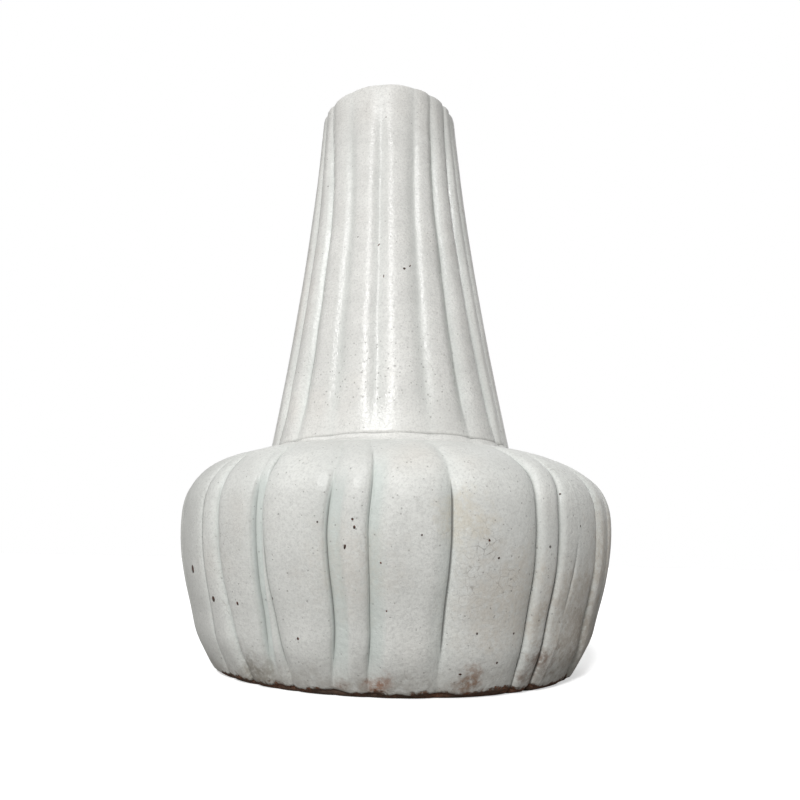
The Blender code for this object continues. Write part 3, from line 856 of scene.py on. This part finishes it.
def floor_material():
    """A white floor to look at, which throws only a little light back up at the vase."""
    finish, tree, shader = blank_material("studio_floor")
    tint = noise(tree, object_place(tree), 3.0, 2.0).ramp(0.3, 0.7, 0.0, 0.02, smooth=False)
    plug(tree, mixed(tree, (0.92, 0.92, 0.92), (0.90, 0.90, 0.90), tint), shader.inputs["Base Color"])
    shader.inputs["Roughness"].default_value = 0.9
    shader.inputs["Emission Color"].default_value = (1.0, 1.0, 1.0, 1.0)
    shader.inputs["Emission Strength"].default_value = 0.55
    dim = tree.nodes.new("ShaderNodeBsdfDiffuse")
    dim.inputs["Color"].default_value = (0.32, 0.31, 0.30, 1.0)
    tree.links.new(seen_by_camera(tree, shader, dim), tree.nodes["Material Output"].inputs["Surface"])
    return finish


# ---- operators

def settle(piece, slot, *nodes):
    """Puts a finished piece on the vase's one body, in place of its plain solids."""
    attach(piece, BODY)
    if nodes:
        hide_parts(*nodes)


BODY_PLEATS = {"Arch_Power": 3.1, "Full_Lobe": 0.013, "Softness": 0.35, "Waver": 0.02, "Lump_Height": 0.00035}
NECK_PLEATS = {"Arch_Power": 1.8, "Full_Lobe": 0.006, "Softness": 1.0, "Waver": 0.03,
               "Lump_Height": 0.00022, "Lump_Scale": 20.0}
LIP_RADIUS = 1.7 * MM
LIP_DEPTH = 4.0 * MM
LINING_GAP = 0.3 * MM
FOOT_FADE = (-0.95, -0.6)


class VASE_OT_body_coat(bpy.types.Operator):
    """Build the outer glaze of the body"""

    bl_idname = "vase.body_coat"
    bl_label = "Body glaze"

    def execute(self, context):
        sizes, colours = context.scene.vase_sizes, context.scene.vase_colours
        top = shoulder_level(sizes, sizes.neck_base_radius + 2.4 * MM)
        rows = [body_row(sizes, -0.979, -sizes.glaze, ragged=1.0)]
        for level, roll in ((-0.982, 0.55), (-0.978, 0.2), (-0.966, 0.05), (-0.945, 0.0)):
            rows.append(body_row(sizes, level, -sizes.glaze * roll, ragged=1.0))
        for level in spread(-0.91, -0.02, 52):
            ragged = 1.0 - smooth_step(*FOOT_FADE, level)
            rows.append(body_row(sizes, level, 0.0, ragged=ragged))
        rows += [body_row(sizes, level, 0.0) for level in spread(0.0, top, 60)]
        rows += [body_row(sizes, level, -sizes.glaze, ragged=1.0 - smooth_step(*FOOT_FADE, level))
                 for level in spread(top, -0.95, 30)]
        finish = glaze_material("grey_glaze", colours.body_glaze, colours, gloss=0.38, shine=0.25,
                                pooling=0.6, speck_share=0.30, foot_edge=1.9 * MM, stained_and_shaded=True)
        coat = pleated_wall("body_coat", rows, body_creases(), finish, Columns=sizes.columns,
                            Ragged_Height=0.006, **BODY_PLEATS)
        settle(coat, "glaze", "body_glaze")
        return {"FINISHED"}


class VASE_OT_body_clay(bpy.types.Operator):
    """Build the pressed clay wall of the body and the bare foot ring"""

    bl_idname = "vase.body_clay"
    bl_label = "Body clay"

    def execute(self, context):
        sizes, colours = context.scene.vase_sizes, context.scene.vase_colours
        clay = clay_material("gritty_clay", colours)
        skin = -sizes.glaze - sizes.clearance
        seam = sizes.foot_height + sizes.clearance
        mouth = shoulder_level(sizes, sizes.mouth_radius)
        rows = [body_row(sizes, level, skin)._replace(height=max(seam, body_row(sizes, level, skin).height))
                for level in spread(level_at(sizes, seam), 0.0, 20)]
        rows += [body_row(sizes, level, skin) for level in spread(0.04, mouth, 24)]
        inside = (mouth, 0.7, 0.5, 0.3, 0.1, -0.2, -0.5, -0.75, -0.84)
        rows += [body_row(sizes, level, -sizes.body_wall, press=0.0) for level in inside]
        floor_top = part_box("floor_slab")[1]
        edge = floor_top.x + sizes.clearance
        rows += [plain_row(edge, floor_top.z, drift=0.0), plain_row(edge, seam, drift=0.0)]
        wall = pleated_wall("body_clay", rows, body_creases(), clay, Columns=8, **BODY_PLEATS)
        settle(wall, "bare_clay", "body_wall")

        inner, bevel = sizes.foot_inner_radius, 1.2 * MM
        edge = body_row(sizes, -1.0, skin)
        land = spread(inner + 3.0 * bevel, edge.radius - 6.0 * bevel, 4)
        rows = [plain_row(inner, sizes.foot_height), plain_row(inner, bevel)]
        rows += [plain_row(inner + bevel * 0.3, bevel * 0.3), plain_row(inner + bevel, 0.0)]
        rows += [plain_row(radius, 0.0) for radius in land]
        rows += [edge._replace(radius=edge.radius - bevel * inset, height=bevel * rise, out=1.0, up=0.0)
                 for inset, rise in ((1.0, 0.0), (0.45, 0.15), (0.12, 0.45))]
        for level in spread(level_at(sizes, bevel), level_at(sizes, sizes.foot_height), 8):
            row = body_row(sizes, level, skin)
            rows.append(row._replace(height=(level + 1.0) * sizes.belly_height, out=1.0, up=0.0))
        ring = pleated_wall("foot_clay", rows, body_creases(), clay, Columns=12,
                            **dict(BODY_PLEATS, Lump_Height=0.0))
        settle(ring, "bare_clay", "foot_ring")
        return {"FINISHED"}


class VASE_OT_neck(bpy.types.Operator):
    """Build the fluted neck: its clay cone and the glaze over it and its lip"""

    bl_idname = "vase.neck"
    bl_label = "Neck"

    def execute(self, context):
        sizes, colours = context.scene.vase_sizes, context.scene.vase_colours
        full, wall, lip = sizes.neck_length, sizes.neck_wall, LIP_RADIUS
        rows = [neck_row(sizes, 0.0, -sizes.glaze)]
        rows += [neck_row(sizes, height, 0.0) for height in spread(0.0, full - lip, 84)]
        for step in spread(15.0, 90.0, 6):
            turn = math.radians(step)
            rows.append(neck_row(sizes, full - lip + lip * math.sin(turn), lip * (math.cos(turn) - 1.0)))
        rows.append(neck_row(sizes, full, -wall / 2.0, press=0.5))
        for step in spread(90.0, 0.0, 7):
            turn = math.radians(step)
            offset = -wall + lip * (1.0 - math.cos(turn))
            rows.append(neck_row(sizes, full - lip + lip * math.sin(turn), offset, press=0.12))
        deep, under_lip = full - LIP_DEPTH, full - sizes.glaze
        rows += [neck_row(sizes, height, offset, press=0.0) for height, offset in (
            (deep, -wall), (deep, -wall + sizes.lining), (under_lip, -wall + sizes.lining))]
        rows += [neck_row(sizes, height, -sizes.glaze) for height in spread(under_lip, full * 0.15, 9)]
        finish = glaze_material("bright_glaze", colours.neck_glaze, colours, gloss=0.27, shine=0.22,
                                pooling=0.75, speck_share=0.14)
        coat = pleated_wall("neck_coat", rows, neck_creases(), finish, Columns=16, **NECK_PLEATS)
        settle(coat, "glaze", "neck_glaze")

        skin = -sizes.glaze - sizes.clearance
        bore = -wall + sizes.lining + sizes.clearance
        top = full - sizes.glaze - sizes.clearance
        rows = [neck_row(sizes, height, skin) for height in spread(0.0, top, 24)]
        rows += [neck_row(sizes, height, bore, press=0.0) for height in spread(top, 0.0, 8)]
        cone = pleated_wall("neck_clay", rows, neck_creases(), bpy.data.materials["gritty_clay"],
                            Columns=8, **NECK_PLEATS)
        settle(cone, "bare_clay", "neck_wall")
        return {"FINISHED"}


class VASE_OT_seam(bpy.types.Operator):
    """Build the bead of slip round the foot of the neck"""

    bl_idname = "vase.seam"
    bl_label = "Neck seam"

    def execute(self, context):
        sizes = context.scene.vase_sizes
        base, seat = sizes.neck_base_radius, seat_height(sizes)
        shift = neck_shift(sizes)

        def shoulder(radius, lift):
            height = body_outline(sizes, shoulder_level(sizes, radius))[1] + lift
            return Row(radius, height, 0.3, 1.0, 0.9, 0.0, shift, 0.6, 0.0, 0.0, 0.0, 0.0)

        def by_neck(offset, rise, lean):
            return Row(base + offset, seat + rise, 0.6, 0.8, 0.0, 0.25, shift, lean, 0.0, 1.0, 0.0, 0.0)

        inner = base - sizes.neck_wall + sizes.lining + sizes.clearance
        skin = -sizes.glaze
        rows = [shoulder(inner, skin), shoulder(base + 2.2 * MM, skin), shoulder(base + 4.4 * MM, 0.0)]
        rows += [shoulder(base + 4.2 * MM, 0.28 * MM), shoulder(base + 3.7 * MM, 0.42 * MM)]
        rows += [shoulder(base + 3.2 * MM, 0.30 * MM), by_neck(2.3 * MM, -1.35 * MM, 0.35)]
        rows += [by_neck(1.4 * MM, -1.0 * MM, 0.7), by_neck(0.8 * MM, -0.4 * MM, 1.0)]
        rows += [by_neck(0.48 * MM, 0.35 * MM, 1.0), by_neck(0.36 * MM, 0.8 * MM, 1.0)]
        rows += [by_neck(0.05 * MM, 0.95 * MM, 1.0)]
        rows += [by_neck(0.02 * MM, -0.3 * MM, 1.0), by_neck(inner - base, -0.3 * MM, 1.0)]
        bead = pleated_wall("seam_bead", rows, neck_creases(), bpy.data.materials["bright_glaze"],
                            Columns=14, **dict(NECK_PLEATS, Lump_Scale=60.0))
        settle(bead, "glaze", "neck_seam_slip")
        return {"FINISHED"}


class VASE_OT_linings(bpy.types.Operator):
    """Build the glaze inside the body and the neck"""

    bl_idname = "vase.linings"
    bl_label = "Linings"

    def execute(self, context):
        sizes, colours = context.scene.vase_sizes, context.scene.vase_colours
        finish = glaze_material("poured_glaze", colours.body_glaze, colours, gloss=0.28, shine=0.2,
                                pooling=0.0, speck_share=0.3)
        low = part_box("body_lining")[0].z
        mouth = shoulder_level(sizes, sizes.mouth_radius)
        skin = -sizes.body_wall - sizes.clearance
        levels = spread(-0.62, mouth, 26)
        rows = [plain_row(0.0, low), plain_row(0.066, low)]
        rows += [body_row(sizes, -0.70, skin - sizes.clearance, press=0.0)]
        rows += [body_row(sizes, level, skin, press=0.0) for level in levels]
        rows += [body_row(sizes, level, skin - sizes.lining, press=0.0) for level in reversed(levels)]
        rows += [body_row(sizes, -0.70, skin - sizes.clearance - sizes.lining, press=0.0)]
        rows += [plain_row(0.0655, low + sizes.lining), plain_row(0.0, low + sizes.lining)]
        cup = pleated_wall("body_lining_coat", rows, neck_creases(), finish, Columns=6, Lump_Height=0.0)
        settle(cup, "lining_glaze", "body_lining")

        bottom, top = 7.0 * MM, sizes.neck_length - LIP_DEPTH - LINING_GAP
        rows = [neck_row(sizes, height, -sizes.neck_wall + sizes.lining, press=0.0)
                for height in spread(bottom, top, 12)]
        rows += [neck_row(sizes, height, -sizes.neck_wall, press=0.0) for height in spread(top, bottom, 40)]
        tube = pleated_wall("neck_lining_coat", rows, neck_creases(), finish, Columns=6, Lump_Height=0.0)
        settle(tube, "lining_glaze", "neck_lining")
        return {"FINISHED"}


# The larger iron spots and pits, as azimuth in degrees, height, width and length in mm, and turn in degrees.
BODY_SPOTS = (
    (-55.5, 39.5, 2.3, 3.2, 0.0), (-46.3, 29.3, 2.0, 2.2, 0.0), (-36.8, 28.6, 1.0, 1.4, 10.0),
    (-8.4, 57.0, 0.8, 0.9, 0.0), (-8.0, 54.4, 0.9, 1.2, 0.0), (-9.8, 48.2, 0.8, 1.6, -10.0),
    (-21.0, 18.6, 0.8, 1.0, 0.0), (-15.6, 56.0, 0.6, 0.7, 0.0), (38.6, 69.0, 0.9, 0.7, 30.0),
    (21.0, 45.8, 0.9, 0.7, 20.0), (18.7, 51.4, 0.7, 1.1, 25.0), (17.9, 21.7, 0.7, 0.8, 0.0),
    (27.2, 21.4, 0.7, 0.8, 0.0), (15.5, 8.5, 1.1, 0.8, 0.0), (24.0, 12.0, 0.8, 0.9, 0.0),
    (-2.8, 43.4, 0.7, 0.7, 0.0), (5.0, 52.4, 0.6, 0.7, 0.0), (-27.0, 31.0, 0.7, 0.9, 0.0),
    (44.0, 58.0, 0.6, 0.9, 0.0), (-1.5, 28.5, 0.6, 0.6, 0.0),
)
NECK_SPOTS = (
    (5.9, 171.5, 1.3, 1.2, 0.0), (9.3, 173.4, 0.5, 1.6, -35.0), (-9.2, 184.4, 0.5, 1.9, -35.0),
    (-5.4, 167.5, 0.5, 1.7, 5.0), (-22.0, 189.0, 0.7, 0.6, 0.0), (45.5, 213.0, 0.6, 0.6, 0.0),
    (45.0, 208.0, 0.6, 0.6, 0.0), (44.0, 261.0, 0.6, 0.7, 0.0), (-9.0, 258.0, 0.6, 0.6, 0.0),
)


class VASE_OT_iron_spots(bpy.types.Operator):
    """Set the larger iron spots in the glaze"""

    bl_idname = "vase.iron_spots"
    bl_label = "Iron spots"

    def execute(self, context):
        mesh = bmesh.new()
        graph = context.evaluated_depsgraph_get()
        for coat, spots, shift in (("body_coat", BODY_SPOTS, 0.0),
                                   ("neck_coat", NECK_SPOTS, neck_shift(context.scene.vase_sizes))):
            surface = BVHTree.FromObject(bpy.data.objects[coat], graph)
            for azimuth, height, width, tall, turn in spots:
                angle = math.radians(azimuth)
                outward = Vector((math.sin(angle), -math.cos(angle), 0.0))
                start = outward * 0.2 + Vector((shift, 0.0, height * MM))
                spot, normal, _, _ = surface.ray_cast(start, -outward)
                upright = (Vector((0.0, 0.0, 1.0)) - normal * normal.z).normalized()
                frame_matrix = Matrix((upright.cross(normal), upright, normal)).transposed().to_4x4()
                place = Matrix.Translation(spot) @ frame_matrix @ Matrix.Rotation(math.radians(turn), 4, "Z")
                scale = Matrix.Diagonal((width * MM / 2.0, tall * MM / 2.0, 0.12 * MM, 1.0))
                bmesh.ops.create_uvsphere(mesh, u_segments=14, v_segments=8, radius=1.0, matrix=place @ scale)
        for face in mesh.faces:
            face.smooth = True
        data = bpy.data.meshes.new("iron_spots")
        mesh.to_mesh(data)
        mesh.free()
        data.materials.append(iron_material("iron_spots", context.scene.vase_colours))
        settle(link(bpy.data.objects.new("iron_spots", data)), "glaze")
        return {"FINISHED"}


class VASE_OT_hidden_clay(bpy.types.Operator):
    """Give the floor and the coils their clay finish"""

    bl_idname = "vase.hidden_clay"
    bl_label = "Floor and coils"

    def execute(self, context):
        for name in ("floor_slab", "floor_seam_coil", "neck_seam_coil"):
            for place in frame["nodes"][name].material_slots:
                place.material = bpy.data.materials["gritty_clay"]
        return {"FINISHED"}


class VASE_OT_stage(bpy.types.Operator):
    """Set up the floor, the lights and the camera"""

    bl_idname = "vase.stage"
    bl_label = "Stage"

    def execute(self, context):
        stage = context.scene.vase_stage
        bpy.ops.mesh.primitive_circle_add(vertices=96, radius=30.0, fill_type="NGON")
        floor = context.active_object
        floor.name = "studio_floor"
        floor.data.materials.append(floor_material())

        world = context.scene.world or bpy.data.worlds.new("studio")
        context.scene.world = world
        world.use_nodes = True
        tree = world.node_tree
        sky = tree.nodes["Background"]
        sky.inputs["Color"].default_value = (0.98, 1.0, 1.0, 1.0)
        sky.inputs["Strength"].default_value = stage.sky
        backdrop = tree.nodes.new("ShaderNodeBackground")
        backdrop.inputs["Color"].default_value = (1.0, 1.0, 1.0, 1.0)
        tree.links.new(seen_by_camera(tree, backdrop, sky), tree.nodes["World Output"].inputs["Surface"])
        context.scene.view_settings.view_transform = "Standard"

        for name, strength, spread_angle, azimuth, elevation in (
            ("key", stage.key, stage.key_spread, -12.0, 35.0),
            ("side", stage.side, math.radians(50.0), -62.0, 30.0),
            ("top", stage.top, math.radians(40.0), 30.0, 70.0),
            ("back", stage.back, math.radians(70.0), 168.0, 20.0),
        ):
            lamp = bpy.data.lights.new(name, "SUN")
            lamp.energy = strength
            lamp.angle = spread_angle
            light = link(bpy.data.objects.new(name, lamp))
            light.rotation_euler = Euler(
                (math.radians(90.0 - elevation), 0.0, math.radians(azimuth)), "XYZ")

        data = bpy.data.cameras.new("camera")
        data.lens = stage.lens
        data.sensor_width = 36.0
        data.clip_start = 0.01
        camera = link(bpy.data.objects.new("camera", data))
        camera.location = (0.4 * MM, -stage.distance, stage.eye_height)
        tilt = Euler((math.pi / 2.0 + stage.pitch, 0.0, 0.0)).to_matrix()
        camera.rotation_euler = (tilt @ Matrix.Rotation(stage.roll, 3, "Z")).to_euler()
        context.scene.camera = camera
        return {"FINISHED"}


class VASE_PT_build(bpy.types.Panel):
    """Lists the pieces of the vase and their settings"""

    bl_label = "Fluted bottle vase"
    bl_idname = "VASE_PT_build"
    bl_space_type = "VIEW_3D"
    bl_region_type = "UI"
    bl_category = "Vase"

    def draw(self, context):
        for group in (context.scene.vase_sizes, context.scene.vase_colours, context.scene.vase_stage):
            box = self.layout.box()
            for name in group.bl_rna.properties.keys():
                if name not in {"rna_type", "name"}:
                    box.prop(group, name)
        for operator in PIECES:
            self.layout.operator(operator.bl_idname)


SETTINGS = (("vase_sizes", VaseSizes), ("vase_colours", VaseColours), ("vase_stage", StageSettings))
PIECES = (VASE_OT_body_coat, VASE_OT_body_clay, VASE_OT_neck, VASE_OT_seam, VASE_OT_linings,
          VASE_OT_iron_spots, VASE_OT_hidden_clay, VASE_OT_stage)


def register():
    for name, settings in SETTINGS:
        bpy.utils.register_class(settings)
        setattr(bpy.types.Scene, name, PointerProperty(type=settings))
    for operator in PIECES:
        bpy.utils.register_class(operator)
    bpy.utils.register_class(VASE_PT_build)


def unregister():
    bpy.utils.unregister_class(VASE_PT_build)
    for operator in reversed(PIECES):
        bpy.utils.unregister_class(operator)
    for name, settings in reversed(SETTINGS):
        delattr(bpy.types.Scene, name)
        bpy.utils.unregister_class(settings)


def main():
    register()
    for existing in ("Cube", "Light", "Camera"):
        if existing in bpy.data.objects:
            bpy.data.objects.remove(bpy.data.objects[existing])
    bpy.ops.vase.body_coat()
    bpy.ops.vase.body_clay()
    bpy.ops.vase.neck()
    bpy.ops.vase.seam()
    bpy.ops.vase.linings()
    bpy.ops.vase.iron_spots()
    bpy.ops.vase.hidden_clay()
    bpy.ops.vase.stage()


if __name__ == "__main__":
    main()
